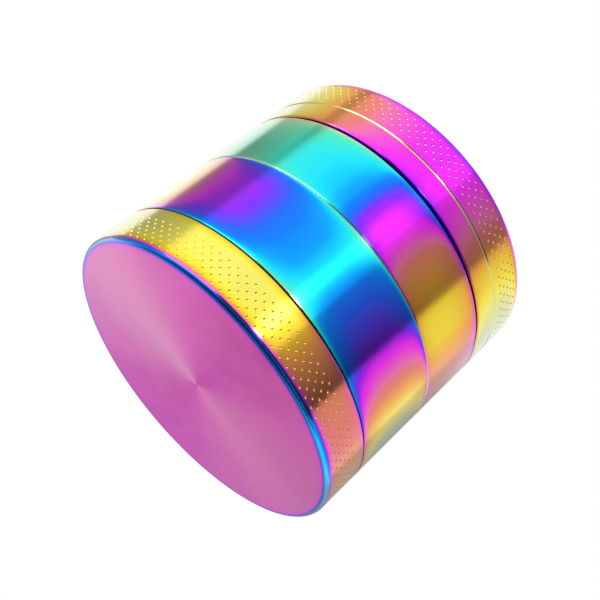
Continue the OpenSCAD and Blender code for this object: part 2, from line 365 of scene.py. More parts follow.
END_ROUND = 0.8      # rounding round the two end faces
SEAM_ROUND = 0.25    # rounding at the seams
SHADING_STEP = 0.06  # how far a shading ring lies from the edge that it guards
SPIGOT_LENGTH = 4.2
SPIGOT_END_GAP = 0.4
SPIGOT_WALL = 1.8
LEAD_IN = 0.3        # bevel that starts a thread
MOUTH_WALL = 2.1
BOWL_WALL = 3.2
BOWL_FILLET = 1.0
THREAD_LEAD = 2.0
THREAD_TURNS = 1.25
THREAD_DEPTH = 0.6
THREAD_CLEARANCE = 0.2
THREAD_FOOT = 1.0
THREAD_CREST = 0.5
LEDGE_WIDTH = 2.8    # ledge that carries the sieve
LEDGE_THICKNESS = 1.2
SCREEN_CLEARANCE = 0.1
FLOOR_THICKNESS = 2.4
FLANGE_THICKNESS = 0.4
LID_WALL = 1.9
LID_THICKNESS = 2.2
LID_CLEARANCE = 0.08
RING_WALL = 0.9
RING_CLEARANCE = 0.06
NECK_LIP = 0.5
NECK_WALL = 1.7
POST_WALL = 1.45     # from the magnet to the outside of its post
MAGNET_CLEARANCE = 0.05
TIP_GAP = 1.2        # from a tooth's tip to the face that it points at
TOOTH_WIDTH = 2.4
TOOTH_LENGTH = 4.2
TOOTH_TIP = 1.6
TOOTH_BEVEL = 1.4
TOOTH_ROOT = 0.5
LANE_MARGIN = 0.6    # least gap from a ring of teeth to the wall or to the post
LANE_PITCH = 3.2
TOOTH_PITCH = 9.6
HOLE_R = 1.6
HOLE_PITCH = 7.3

MOUTH_R = OUTER_R - MOUTH_WALL
SPIGOT_R = MOUTH_R - (THREAD_DEPTH + THREAD_CLEARANCE)
SPIGOT_BORE_R = SPIGOT_R - SPIGOT_WALL
BOWL_R = OUTER_R - BOWL_WALL
LEDGE_R = SCREEN_R + SCREEN_CLEARANCE - LEDGE_WIDTH
SIEVE_TOP = edges("grinding_chamber", 2)[0] + SPIGOT_LENGTH
CHAMBER_FLOOR_TOP = SIEVE_TOP + FLOOR_THICKNESS
LID_RIM = CHAMBER_TOP + FLANGE_THICKNESS
LID_BORE_R = OUTER_R - LID_WALL
LID_CEILING = LID_END - LID_THICKNESS
RING_R = LID_BORE_R - LID_CLEARANCE
RING_BORE_R = RING_R - RING_WALL
RING_SEAT_R = RING_BORE_R - RING_CLEARANCE
SEAT_END = RING_TOP + RING_CLEARANCE
NECK_R = RING_SEAT_R + NECK_LIP
POCKET_R = RING_SEAT_R - NECK_WALL
POST_R = MAGNET_R + POST_WALL
MAGNET_POCKET_R = MAGNET_R + MAGNET_CLEARANCE
LANE_R = POCKET_R - LANE_MARGIN - TOOTH_WIDTH / 2
print("outer radius", OUTER_R, "seams at", CATCHER_TOP, SIEVE_TOP, CHAMBER_TOP, "top at", LID_END)

# %% [markdown]
# Surfaces of revolution
#
# Anything made on a lathe is one profile carried round the axis. The profile is a list of points
# (distance from the axis, height) that runs anticlockwise round the metal's cross-section, so
# that the faces it sweeps out point away from the metal. Roundings are arcs of a few points.

# %% Profiles and grids
SEGMENTS = 396       # steps round the axis: four for each of the 99 punched dots in a row
ARC_STEPS = 8


def arc(r, z, radius, start, end):
    """Points (r + radius cos t, z + radius sin t) of an arc, for t from start to end degrees."""
    t = np.radians(np.linspace(start, end, ARC_STEPS + 1))
    return np.stack([r + radius * np.cos(t), z + radius * np.sin(t)], -1).tolist()


def steps_round(count):
    """Angles of equal steps once round: 2 pi k / count."""
    return np.arange(count) * 2 * math.pi / count


def polar(r, angle, z):
    """Points (r cos a, r sin a, z), one to a row."""
    r, angle, z = np.broadcast_arrays(r, angle, z)
    return np.stack([r * np.cos(angle), r * np.sin(angle), z], -1).reshape(-1, 3)


def ring_quads(rings, sides, closed=False):
    """Quads between rings of points: from corner k of ring i to its corner k + 1, and on to the
    same two corners of ring i + 1. If closed, the last ring is followed by the first."""
    i, k = np.meshgrid(np.arange(rings if closed else rings - 1), np.arange(sides), indexing="ij")
    here, above, after = i * sides, (i + 1) % rings * sides, (k + 1) % sides
    return np.stack([here + k, here + after, above + after, above + k], -1).reshape(-1, 4)


def turned(profile, closed=False, segments=SEGMENTS):
    """Carry each profile point (r, z) round +Z."""
    r, z = np.asarray(profile, float).T[:, :, None]
    return polar(r, steps_round(segments), z), ring_quads(len(r), segments, closed)


def mesh_object(name, parts):
    """One welded mesh from several (points, faces) grids in millimetres. A quad that closes on
    the axis becomes a triangle when its doubles are merged."""
    points = np.concatenate([part[0] for part in parts]) * MM
    faces = []
    start = 0
    for part in parts:
        faces += (np.asarray(part[1]) + start).tolist()
        start += len(part[0])
    mesh = bpy.data.meshes.new(name)
    mesh.from_pydata(points.tolist(), [], faces)
    work = bmesh.new()
    work.from_mesh(mesh)
    bmesh.ops.remove_doubles(work, verts=work.verts, dist=MM / 1000)
    work.to_mesh(mesh)
    work.free()
    return new_object(name, mesh)


def combine(base, tool, operation):
    """Join a tool's solid to the base's, or cut it out, and drop the tool."""
    step = base.modifiers.new(operation.lower(), "BOOLEAN")
    step.operation = operation
    step.solver = "MANIFOLD"
    step.object = tool
    result = bpy.data.meshes.new_from_object(base.evaluated_get(bpy.context.evaluated_depsgraph_get()))
    base.modifiers.clear()
    base.data = result
    bpy.data.objects.remove(tool)


# %% [markdown]
# The band of punched dots
#
# The catcher carries six rows of small dots and the lid five, punched with a round-nosed tool
# that steps round the wall, each row half a step on from the last. Bump mapping would leave them
# flat when seen from the side, so each dot is real: the band is tiled with one cell per dot, a
# rectangle with a round rim inside it that runs down to a small hollow. A cell's border points lie
# on quarter steps, so neighbouring rows and the plain wall share them and weld without a gap.

# %% Dots
DOT_COLUMNS = 99
DOT_R = 0.20
DOT_DEPTH = 0.12
DOT_ROW_PITCH = 0.8
CATCHER_ROWS, LID_ROWS = 6, 5
CATCHER_FIRST_ROW, LID_FIRST_ROW = 1.18, 1.55      # from the end face to the row nearest to it
CATCHER_DOTS = CATCHER_FIRST_ROW + DOT_ROW_PITCH * np.arange(CATCHER_ROWS)     # the rows' heights
LID_DOTS = LID_END - LID_FIRST_ROW - DOT_ROW_PITCH * np.arange(LID_ROWS)[::-1]
CATCHER_DOT_EDGES = np.concatenate([[END_ROUND], CATCHER_DOTS + DOT_ROW_PITCH / 2])
LID_DOT_EDGES = np.concatenate([LID_DOTS - DOT_ROW_PITCH / 2, [LID_END - END_ROUND]])
CATCHER_DOT_SHIFT, LID_DOT_SHIFT = -0.25, -0.5         # steps that the first row is turned by
DOT_RINGS = ((1.0, 0.0), (0.55, 0.75))      # share of the dot's radius, share of its depth
CELL_BORDER = np.array([(2, 0), (2, 1), (1, 1), (0, 1), (-1, 1), (-2, 1),
                        (-2, 0), (-2, -1), (-1, -1), (0, -1), (1, -1), (2, -1)])


def dotted_band(heights, row_edges, shift):
    """A wall of cells. Cell borders sit at quarter steps round the wall and at the rows' edges.
    Inside are two rings, (radius cos t, radius sin t) off the dot's centre, and the centre itself,
    each sunk by its share of the dot's depth. The quads and the triangles are separate parts,
    since mesh_object takes faces of one kind in each."""
    column, row = np.meshgrid(np.arange(DOT_COLUMNS), np.arange(len(heights)), indexing="ij")
    column, row = column.ravel(), row.ravel()
    step = 2 * math.pi / DOT_COLUMNS
    centre_angle = ((column + 0.5 * (row % 2) + shift) * step)[:, None]
    centre_z = heights[row][:, None]
    level = CELL_BORDER[:, 1]
    border_z = np.where(level > 0, row_edges[row + 1][:, None],
                        np.where(level < 0, row_edges[row][:, None], centre_z))
    sides = len(CELL_BORDER)
    t = steps_round(sides)
    rings = [(centre_angle + CELL_BORDER[:, 0] * step / 4, border_z, np.zeros(sides))]
    for share, sink in DOT_RINGS:
        rings.append((centre_angle + share * DOT_R * np.cos(t) / OUTER_R,
                      centre_z + share * DOT_R * np.sin(t), np.full(sides, sink * DOT_DEPTH)))
    rings.append((centre_angle, centre_z, np.array([DOT_DEPTH])))
    angles, levels, depths = (np.concatenate(part, -1) for part in zip(*rings))
    points = polar(OUTER_R - depths, angles, levels)
    k = np.arange(sides)
    tips = np.stack([2 * sides + k, 2 * sides + (k + 1) % sides, np.full(sides, 3 * sides)], -1)
    cell_start = (np.arange(len(row)) * (3 * sides + 1))[:, None, None]
    return [(points, (ring_quads(3, sides) + cell_start).reshape(-1, 4)),
            (points, (tips + cell_start).reshape(-1, 3))]


# %% [markdown]
# Threads
#
# A thread is a small trapezium carried up a helix. It rises from almost nothing at both ends,
# and its foot goes a little way into the wall, so that a boolean can join the two solids.

# %% Threads
THREAD_STEPS = 99    # steps in one turn
THREAD_RAMP = 10     # steps over which the ridge rises
THREAD_START = 0.05  # share of its height that it starts with
THREAD_SINK = 0.25
SEAM_TO_THREAD = -(SPIGOT_LENGTH + THREAD_LEAD * THREAD_TURNS) / 2


def thread(name, wall_r, seam_z, side, turn):
    """A helix: at step i the section's middle is at angle turn + 2 pi i / steps and height
    start + lead i / steps. side is 1 for a ridge that stands outwards and -1 for inwards."""
    last = round(THREAD_TURNS * THREAD_STEPS)
    i = np.arange(last + 1)
    angle = math.radians(turn) + 2 * math.pi * i / THREAD_STEPS
    z = seam_z + SEAM_TO_THREAD + THREAD_LEAD * i / THREAD_STEPS
    rise = THREAD_DEPTH * np.clip(np.minimum(i, last - i) / THREAD_RAMP, THREAD_START, 1)
    foot = np.full(last + 1, wall_r - side * THREAD_SINK)
    r = np.stack([foot, wall_r + side * rise, wall_r + side * rise, foot], -1)
    up = z[:, None] + np.array([-THREAD_FOOT, -THREAD_CREST, THREAD_CREST, THREAD_FOOT]) / 2
    caps = np.array([[3, 2, 1, 0], [4 * last, 4 * last + 1, 4 * last + 2, 4 * last + 3]])
    faces = np.concatenate([ring_quads(last + 1, 4), caps])
    if side > 0:
        faces = faces[:, ::-1]
    return mesh_object(name, [(polar(r, angle[:, None], up), faces)])


# %% [markdown]
# Teeth and drop holes
#
# Seen from above, the teeth are diamonds, whose sharp ends meet the herb. Near its tip each one
# is sloped off at both sharp ends. The lid's rings of teeth run between the grinding chamber's.
# Round holes in the chamber's floor let the ground herb fall, with their edges broken by a bevel.

# %% Teeth and holes
LANES = int((LANE_R - POST_R - LANE_MARGIN - TOOTH_WIDTH / 2) // LANE_PITCH) + 1
TOOTH_HEIGHT = LID_CEILING - CHAMBER_FLOOR_TOP - TIP_GAP
HOLE_BEVEL = 0.2
HOLE_SEGMENTS = 32
HOLE_OVERRUN = (1.0, 0.05)   # how far a cutter reaches below and above the floor


def around(block, r, z, count, turn=0.0, upside_down=False):
    """Copies of a block's points and faces at equal steps round the axis: turned by the step's
    angle, after a shift out to r. An upside-down one is mirrored in z, and its faces reversed."""
    points, faces = block
    if upside_down:
        points, faces = points * (1, 1, -1), faces[:, ::-1]
    points = points + (r, 0, z)
    angle = np.radians(turn) + steps_round(count)
    c, s = np.cos(angle)[:, None], np.sin(angle)[:, None]
    x, y, up = points.T
    copies = np.stack([c * x - s * y, s * x + c * y, np.repeat(up[None], count, 0)], -1)
    shift = (np.arange(count) * len(points))[:, None, None]
    return copies.reshape(-1, 3), (faces + shift).reshape(-1, faces.shape[1])


def tooth_block():
    """A hexagon at three heights: corners at half the width w, and at half-length y with the
    diamond's own half-width there, (w / 2) (1 - y / (l / 2)). Up to the bevel y is l / 2, which
    makes a point, and at the tip it is half the tip's length."""
    half_w, half_l = TOOTH_WIDTH / 2, TOOTH_LENGTH / 2
    rings = []
    for z, y in ((-TOOTH_ROOT, half_l), (TOOTH_HEIGHT - TOOTH_BEVEL, half_l),
                 (TOOTH_HEIGHT, TOOTH_TIP / 2)):
        x = half_w * (1 - y / half_l)
        rings += [(half_w, 0, z), (x, y, z), (-x, y, z), (-half_w, 0, z), (-x, -y, z), (x, -y, z)]
    ends = np.array([[0, 3, 2, 1], [0, 5, 4, 3], [12, 13, 14, 15], [12, 15, 16, 17]])
    return np.array(rings), np.concatenate([ring_quads(3, 6), ends])


def hole_pin():
    """A turned pin that cuts a drop hole, wider by the bevel at both faces of the floor."""
    low, high = SIEVE_TOP, CHAMBER_FLOOR_TOP
    under, over = HOLE_OVERRUN
    wide = HOLE_R + HOLE_BEVEL
    return turned([(0, low - under), (wide, low - under), (wide, low), (HOLE_R, low + HOLE_BEVEL),
                   (HOLE_R, high - HOLE_BEVEL), (wide, high), (wide, high + over), (0, high + over)],
                  segments=HOLE_SEGMENTS)


def in_lanes(name, block, first, pitch, z=0.0, step_share=0.0, upside_down=False):
    """Copies of a block about a pitch apart in every second lane from the first one, turned by a
    share of a step, as one mesh."""
    parts = []
    for number in range(first, LANES, 2):
        r = LANE_R - number * LANE_PITCH
        count = round(2 * math.pi * r / pitch)
        parts.append(around(block, r, z, count, step_share * TURN / count, upside_down))
    return mesh_object(name, parts)


print("rings of teeth", LANES, "teeth stand", TOOTH_HEIGHT)

# %% [markdown]
# Interference colours
#
# The coating is clear, and its colour comes from light that bounces off its top and off the metal
# under it. As it grows thicker the colour runs through gold, rose, violet, blue and cyan to
# green, and then towards a paler gold. One ramp holds that order for all four sections. What
# differs between them is the thickness: it changes slowly round the wall, as each piece hung a
# little differently in the coating chamber, and it climbs towards every edge, where more of the
# coating lands.

# %% Film colours
# film thickness, as a share of one run through the rainbow, and the colour that it shows
FILM_COLOURS = (
    (0.00, "CAD8B6"), (0.05, "DEDE88"), (0.08, "F4EA60"), (0.11, "FAE440"), (0.16, "F2C63A"),
    (0.22, "F0A448"), (0.28, "E88A66"), (0.32, "E87C80"), (0.35, "EA7AA2"), (0.39, "EE5EC8"),
    (0.43, "F03CE6"), (0.46, "EC2EF6"), (0.50, "B02AEE"), (0.54, "7E34F4"), (0.58, "5450FA"),
    (0.62, "2C66FA"), (0.70, "1680F8"), (0.77, "14A4F8"), (0.84, "1AD6FA"), (0.90, "2CE4E4"),
    (0.95, "42E6CA"), (1.00, "5CE2B6"), (1.08, "9CE2B4"), (1.15, "C4DCA4"), (1.25, "DCC08C"),
)
THICKEST = FILM_COLOURS[-1][0]
# pale zinc colour, mixed in as worn film at seams and as painted sheen and reflection elsewhere
ZINC_WEAR_AND_SHEEN = "DCDCD4"
SEAM_SHADE = "100C10"      # painted shade in a seam's narrow gap

# film thickness round each wall: (degrees from -X through -Y, thickness)
CATCHER_FILM = (
    (0, .04), (30, .065), (52, .08), (92, .085), (97, .15), (102, .215), (106, .25), (112, .275),
    (136, .31), (142, .29), (150, .25), (162, .20), (180, .14), (215, .25), (250, .46), (285, .44),
    (320, .25), (345, .08), (360, .04),
)
SIEVE_FILM = (
    (0, .06), (22, .10), (28, .24), (34, .385), (40, .46), (46, .50), (56, .53), (61, .57), (65, .62),
    (72, .70), (82, .77), (89, .845), (94, .79), (99, .67), (106, .60), (112, .565), (118, .52),
    (124, .43), (130, .35), (136, .26), (142, .16), (150, .07), (162, .0), (185, .06), (215, .22),
    (250, .45), (290, .70), (325, .55), (345, .22), (360, .06),
)
CHAMBER_FILM = (
    (0, 1.10), (34, 1.05), (40, 1.0), (52, .92), (64, .86), (72, .80), (77, .73), (82, .57), (87, .48),
    (96, .44), (102, .35), (106, .28), (112, .225), (118, .20), (122, .135), (130, .13), (136, .17),
    (148, .28), (160, .32), (180, .38), (210, .50), (250, .70), (290, .90), (330, 1.05), (360, 1.10),
)
LID_FILM = (
    (0, .0), (20, .03), (28, .065), (34, .09), (40, .155), (46, .22), (52, .285), (58, .335), (64, .38),
    (70, .41), (78, .445), (94, .465), (102, .42), (106, .39), (112, .33), (118, .27), (124, .17),
    (130, .125), (136, .085), (148, .035), (162, .0), (180, .0), (215, .20), (250, .45), (285, .55),
    (320, .28), (345, .08), (360, .0),
)
# painted sheen: share of pale zinc colour round a wall, greatest near 20 and 170 degrees where the wall
# turns away from the camera: (degrees, share)
GRAZING_SHEEN_SHARE = ((0, .30), (14, .60), (25, .60), (31, .20), (38, .03), (50, .0), (136, .0), (150, .18),
              (165, .35), (178, .35), (195, .0), (345, .0), (360, .30))
# film thickness that a seam's edge adds: (mm from the edge, thickness)
SEAM_FILM = ((0.0, .30), (0.25, .19), (0.5, .11), (1.0, .06), (2.0, .025), (3.4, .0))
# film thickness across an end face: (mm from the axis, thickness), out to its rounded edge
FACE_FILM = ((0.0, .395), (23.2, .40), (23.8, .42), (24.05, .46), (24.2, .53), (24.35, .63), (24.55, .72))
FACE_DRIFT = 0.0004  # how much thicker the film on an end face gets with each mm towards +Y
# Towards -X and +X the rings are seen across rather than along, and the face looks paler there. That
# paleness is a painted reflection: a thinner film and a share of pale zinc colour.
FACE_REFLECTION_FILM = -0.012
FACE_REFLECTION_PALE = 0.17       # share of pale zinc colour there, a painted reflection, as the mean of the two sides
FACE_REFLECTION_LEAN = -0.07      # what the share at +X differs by from that mean
# how far the film near an end face is that of its rounded edge: (mm from the end face, share)
END_SHARE = ((0.0, 1), (0.2, .98), (0.4, .88), (0.58, .67), (0.72, .46), (0.95, .24), (1.3, .11),
             (1.8, .05), (2.6, .015), (3.2, 0))
# film thickness on the rounded edge of each end face: (degrees, thickness)
CATCHER_END_FILM = ((0, .73), (80, .75), (118, .83), (180, .83), (250, .73), (360, .73))
LID_END_FILM = ((0, .57), (360, .57))
# film thickness at the bottom of the dots and of the groove: (mm from the end face, thickness)
CATCHER_RECESS = ((0.0, .14), (6.0, .14))
LID_RECESS = ((0.0, .27), (5.5, .27), (5.8, .115), (7.0, .115))

# A seam has a height, factors on how far its extra film reaches and on how thick that is, and its
# shares of painted shade in its gap and of rubbed-off film. An end face has a height, the film round
# its rounded edge, and the film in the dots and the groove next to it, with their share of pale zinc
# colour, a painted reflection.
Seam = namedtuple("Seam", "z reach amount grime rubbed")
EndFace = namedtuple("EndFace", "z rim_film recess_film recess_bare")
CATCHER_ENDS = (EndFace(0, CATCHER_END_FILM, CATCHER_RECESS, 0.12), Seam(CATCHER_TOP, 0.4, 1, 0.9, 0))
SIEVE_ENDS = (Seam(CATCHER_TOP, 1.4, 1.25, 0.9, 0), Seam(SIEVE_TOP, 1.4, 1, 0, 0.6))
CHAMBER_ENDS = (Seam(SIEVE_TOP, 0.8, 0.5, 0, 0.6), Seam(CHAMBER_TOP, 1.7, 1, 0.15, 0))
LID_ENDS = (Seam(LID_RIM, 0.9, 0.35, 0.1, 0), EndFace(LID_END, LID_END_FILM, LID_RECESS, 0.45))
print("film colours", len(FILM_COLOURS))

# %% [markdown]
# Coated zinc
#
# The metal under the film is polished cast zinc, so it is a full metal with a low roughness, and
# it keeps the default index of refraction. The lathe left fine rings round every face, which
# smear reflections across the rings: that is anisotropy, along a tangent that runs round the
# axis. The rings themselves are about 0.05 mm apart; they are drawn 0.3 mm apart, since finer
# ones could not show.

# %% Coated zinc
RING_SPACING = 0.3       # mm
RING_RELIEF = 0.0006     # mm, height of a turned ring
WAVE_UNITS = 20          # Blender's wave texture runs through one radian in 1 / (20 scale)
WALL_ROUGHNESS = 0.16
FACE_ROUGHNESS = 0.28    # the end faces were turned but hardly polished
INSIDE_ROUGHNESS = 0.36
FILM_SWAY = 0.012        # how far soft noise moves the film's thickness
FILM_PATCH = 14.0        # mm, size of that noise's patches
WEAR_PATCH = 6.0         # mm, size of the patches of roughness
EDGE_BLEND = 0.05        # mm over which a rounded edge's finish gives way to the wall's
SEAM_SHADE_AND_WEAR = (0.01, 0.06)     # mm inside the wall: where the painted seam shade and the rubbed-off film begin and where they are whole
SUNK = 0.8               # share of a dot's depth at which the film is that of its bottom
FACE_TO_WALL = (0.8, 0.3)    # where the face's finish ends and the wall's begins, in end roundings
NOISE_SPAN = (0.3, 0.7)      # where most of the noise lies
WEAR_SPAN = (0.9, 1.1)       # factors on the roughness


def turned_metal(tree, place):
    """The lathe's rings: a wave in height on walls plus a wave in radius on flat faces."""
    scale = 2 * math.pi / (WAVE_UNITS * RING_SPACING * MM)
    up = add(tree, "ShaderNodeTexWave", {"Vector": place, "Scale": scale}, bands_direction="Z")
    out = add(tree, "ShaderNodeTexWave", {"Vector": place, "Scale": scale}, wave_type="RINGS",
              rings_direction="Z")
    height = plus(tree, up.outputs["Fac"], out.outputs["Fac"])
    return add(tree, "ShaderNodeBump", {"Height": height, "Distance": RING_RELIEF * MM, "Strength": 1.0})


def film_shader(tree, film, bare, grime, place, roughness):
    """A full metal in the film's colour, with shares of pale zinc colour (worn film and painted sheen)
    and of a dark colour (painted shade in seams) over it, turned rings, and a roughness that varies a
    little."""
    rainbow = [(thickness / THICKEST, code) for thickness, code in FILM_COLOURS]
    colour = ramp(tree, times(tree, film, 1 / THICKEST), rainbow)
    # pale zinc colour goes over the film as worn film and as painted sheen, then a dark colour as painted
    # shade in the seams
    for share, other in ((bare, ZINC_WEAR_AND_SHEEN), (grime, SEAM_SHADE)):
        colour = add(tree, "ShaderNodeMix", {"Factor": share, 6: colour, 7: linear(other)},
                     data_type="RGBA").outputs[2]
    wear = rescale(tree, noise(tree, place, WEAR_PATCH, 3.0), NOISE_SPAN, WEAR_SPAN)
    tangent = add(tree, "ShaderNodeTangent", direction_type="RADIAL", axis="Z")
    principled(tree, {
        "Base Color": colour,
        "Metallic": 1.0,
        "Roughness": times(tree, wear, roughness),
        "Anisotropic": 0.9,
        "Anisotropic Rotation": 0.25,
        "Tangent": tangent.outputs[0],
        "Normal": turned_metal(tree, place).outputs[0]})


def coated_zinc(name, wall_film, ends):
    """Polished, coated zinc outside: bright bands of reflection in a rainbow that runs round the
    wall. The film is the wall's own, plus what its lower and upper end add, plus soft noise. On
    an end face it depends on the distance from the axis."""
    material, tree = new_material(name)
    place = object_place(tree)
    xyz = add(tree, "ShaderNodeSeparateXYZ", {0: place}).outputs
    degrees = rescale(tree, maths(tree, "ARCTAN2", xyz["Y"], xyz["X"]), (-math.pi, math.pi), (0, TURN))
    film = curve(tree, degrees, wall_film)
    # painted sheen: pale zinc colour where the wall turns away from the camera
    bare = curve(tree, degrees, GRAZING_SHEEN_SHARE)
    flat = add(tree, "ShaderNodeVectorMath", {0: place, 1: (1 / MM, 1 / MM, 0)}, operation="MULTIPLY")
    radius = add(tree, "ShaderNodeVectorMath", {0: flat.outputs[0]}, operation="LENGTH").outputs["Value"]
    roughness = WALL_ROUGHNESS
    under_wall = rescale(tree, radius, (OUTER_R - SEAM_SHADE_AND_WEAR[0], OUTER_R - SEAM_SHADE_AND_WEAR[1]))
    beyond_ends, grime = 1.0, 0.0
    face = next((end for end in ends if isinstance(end, EndFace)), None)
    for end, sign in zip(ends, (1, -1)):
        distance = maths(tree, "MULTIPLY_ADD", xyz["Z"], sign / MM, -sign * end.z)
        edge = END_ROUND if end is face else SEAM_ROUND
        if face:
            beyond_ends = times(tree, rescale(tree, distance, (edge, edge + EDGE_BLEND)), beyond_ends)
        if end is face:
            rim_film = curve(tree, degrees, face.rim_film)
            film = mixed(tree, curve(tree, distance, END_SHARE), film, rim_film)
            recess_film = curve(tree, distance, face.recess_film)
        else:
            profile = [(mm * end.reach, extra * end.amount) for mm, extra in SEAM_FILM]
            film = plus(tree, film, curve(tree, distance, profile))
            # inside a seam's gap: a dark colour that is painted shade, and pale zinc colour where the film
            # is rubbed off
            in_seam = times(tree, rescale(tree, distance, (edge + EDGE_BLEND, edge)), under_wall)
            grime = plus(tree, times(tree, in_seam, end.grime), grime)
            bare = plus(tree, times(tree, in_seam, end.rubbed), bare)
    if face:
        # in the dots and the groove, the share of pale zinc colour is a painted reflection
        sunk = times(tree, rescale(tree, radius, (OUTER_R, OUTER_R - SUNK * DOT_DEPTH)), beyond_ends)
        film = mixed(tree, sunk, film, recess_film)
        bare = mixed(tree, sunk, bare, face.recess_bare)
        # painted reflection: paler, slightly thinner film in wedges towards -X and +X of an end face
        aside = maths(tree, "DIVIDE", times(tree, xyz["X"], 1 / MM), radius)
        reflection_wedge = times(tree, aside, aside)
        painted_paleness = plus(tree, times(tree, aside, FACE_REFLECTION_LEAN), FACE_REFLECTION_PALE)
        face_film = plus(tree, curve(tree, radius, FACE_FILM), times(tree, xyz["Y"], FACE_DRIFT / MM))
        face_film = plus(tree, face_film, times(tree, reflection_wedge, FACE_REFLECTION_FILM))
        wall_share = rescale(tree, radius, [OUTER_R - share * END_ROUND for share in FACE_TO_WALL])
        film = mixed(tree, wall_share, face_film, film)
        bare = mixed(tree, wall_share, times(tree, reflection_wedge, painted_paleness), bare)
        roughness = mixed(tree, wall_share, FACE_ROUGHNESS, WALL_ROUGHNESS)
    sway = rescale(tree, noise(tree, place, FILM_PATCH, 1.0), (0, 1), (-FILM_SWAY, FILM_SWAY))
    film_shader(tree, plus(tree, film, sway), bare, grime, place, roughness)
    return material


def coated_zinc_inside(name, film_span):
    """The same coating inside a bowl or on a thread, where it is thinner and patchy, over metal
    that was turned but not polished, so that it is duller."""
    material, tree = new_material(name)
    place = object_place(tree)
    film = rescale(tree, noise(tree, place, FILM_PATCH, 1.5), NOISE_SPAN, film_span)
    film_shader(tree, film, 0.0, 0.0, place, INSIDE_ROUGHNESS)
    return material


# %% [markdown]
# The four sections
#
# Each section is a turned body, with its thread, teeth and holes joined to it or cut out of it by
# a boolean. Edges that turn by more than about a third of a right angle stay crisp, and the rest
# is smoothed.

# %% Finishing a section
CREASE = math.radians(32)
SKIN = 1.5           # mm: the outer metal's depth that takes the outside finish


def join_piece(thing, body, node_name):
    """Smooth a piece, which rides its body and takes its node's place."""
    thing.data.shade_smooth()
    thing.data.set_sharp_from_angle(angle=CREASE)
    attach(thing, body)
    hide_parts(node_name)
    triangles = sum(len(polygon.vertices) - 2 for polygon in thing.data.polygons)
    print(thing.name, "triangles", triangles)


def finish_piece(thing, material, body, node_name):
    """A piece that is all of one material."""
    thing.data.materials.append(material)
    join_piece(thing, body, node_name)


def finish_section(thing, body, node_name, slot, wall_film, ends, inside_film):
    """A section takes the outside finish on faces whose middle is in its outer skin or on its end
    face, and the inside finish on the others."""
    mesh = thing.data
    mesh.materials.clear()
    mesh.materials.append(coated_zinc(slot, wall_film, ends))
    mesh.materials.append(coated_zinc_inside(slot + "_inside", inside_film))
    middles = np.empty(len(mesh.polygons) * 3)
    mesh.polygons.foreach_get("center", middles)
    middles = middles.reshape(-1, 3) / MM
    skin = np.hypot(middles[:, 0], middles[:, 1]) > OUTER_R - SKIN
    for end in ends:
        if isinstance(end, EndFace):
            skin |= np.abs(middles[:, 2] - end.z) < END_ROUND
    mesh.polygons.foreach_set("material_index", np.where(skin, 0, 1).astype(np.int32))
    join_piece(thing, body, node_name)


def straight_wall(low, high):
    """The wall's ends, each with a second ring close by that keeps the shading between them flat."""
    return [(OUTER_R, low), (OUTER_R, low + SHADING_STEP), (OUTER_R, high - SHADING_STEP), (OUTER_R, high)]


def seam_edge(z, side):
    """The rounded edge at a seam: side is 1 if the metal is above the seam and -1 if below."""
    start = -90 if side > 0 else 0
    return arc(OUTER_R - SEAM_ROUND, z + side * SEAM_ROUND, SEAM_ROUND, start, start + 90)


def outer_wall(low, high):
    """The wall from one seam's rounding to the next."""
    return (seam_edge(low, 1) + straight_wall(low + SEAM_ROUND, high - SEAM_ROUND)[1:-1]
            + seam_edge(high, -1))


def mouth(top):
    """A threaded mouth, from its rim down to its floor."""
    floor_z = top - SPIGOT_LENGTH - SPIGOT_END_GAP
    return [(MOUTH_R + LEAD_IN, top), (MOUTH_R, top - LEAD_IN), (MOUTH_R, floor_z), (BOWL_R, floor_z)]


def spigot(shoulder):
    """A threaded spigot below a shoulder, from its bore to the shoulder."""
    end = shoulder - SPIGOT_LENGTH
    return [(SPIGOT_BORE_R, end), (SPIGOT_R - LEAD_IN, end),
            (SPIGOT_R, end + LEAD_IN), (SPIGOT_R, shoulder)]


# %% Catcher
catcher = mesh_object("catcher_body", [
    turned([(0, 0)] + arc(OUTER_R - END_ROUND, END_ROUND, END_ROUND, -90, 0)),
    *dotted_band(CATCHER_DOTS, CATCHER_DOT_EDGES, CATCHER_DOT_SHIFT),
    turned(straight_wall(CATCHER_DOT_EDGES[-1], CATCHER_TOP - SEAM_ROUND)[:-1]
           + seam_edge(CATCHER_TOP, -1) + mouth(CATCHER_TOP)
           + arc(BOWL_R - BOWL_FILLET, CATCHER_FLOOR + BOWL_FILLET, BOWL_FILLET, 0, -90)
           + [(0, CATCHER_FLOOR)])])
combine(catcher, thread("catcher_thread", MOUTH_R, CATCHER_TOP, -1, 180), "UNION")
finish_section(catcher, "catcher", "catcher", "coated_zinc_gold", CATCHER_FILM, CATCHER_ENDS, (0.10, 0.36))

# %% Sieve chamber
sieve = mesh_object("sieve_chamber_body", [turned(
    spigot(CATCHER_TOP) + outer_wall(CATCHER_TOP, SIEVE_TOP) + mouth(SIEVE_TOP)
    + [(BOWL_R, SCREEN_Z), (LEDGE_R, SCREEN_Z), (LEDGE_R, SCREEN_Z - LEDGE_THICKNESS),
       (SPIGOT_BORE_R, SCREEN_Z - LEDGE_THICKNESS)], closed=True)])
combine(sieve, thread("sieve_lower_thread", SPIGOT_R, CATCHER_TOP, 1, 0), "UNION")
combine(sieve, thread("sieve_upper_thread", MOUTH_R, SIEVE_TOP, -1, 180), "UNION")
finish_section(sieve, "sieve_section", "sieve_chamber", "coated_zinc_blue",
               SIEVE_FILM, SIEVE_ENDS, (0.40, 0.78))

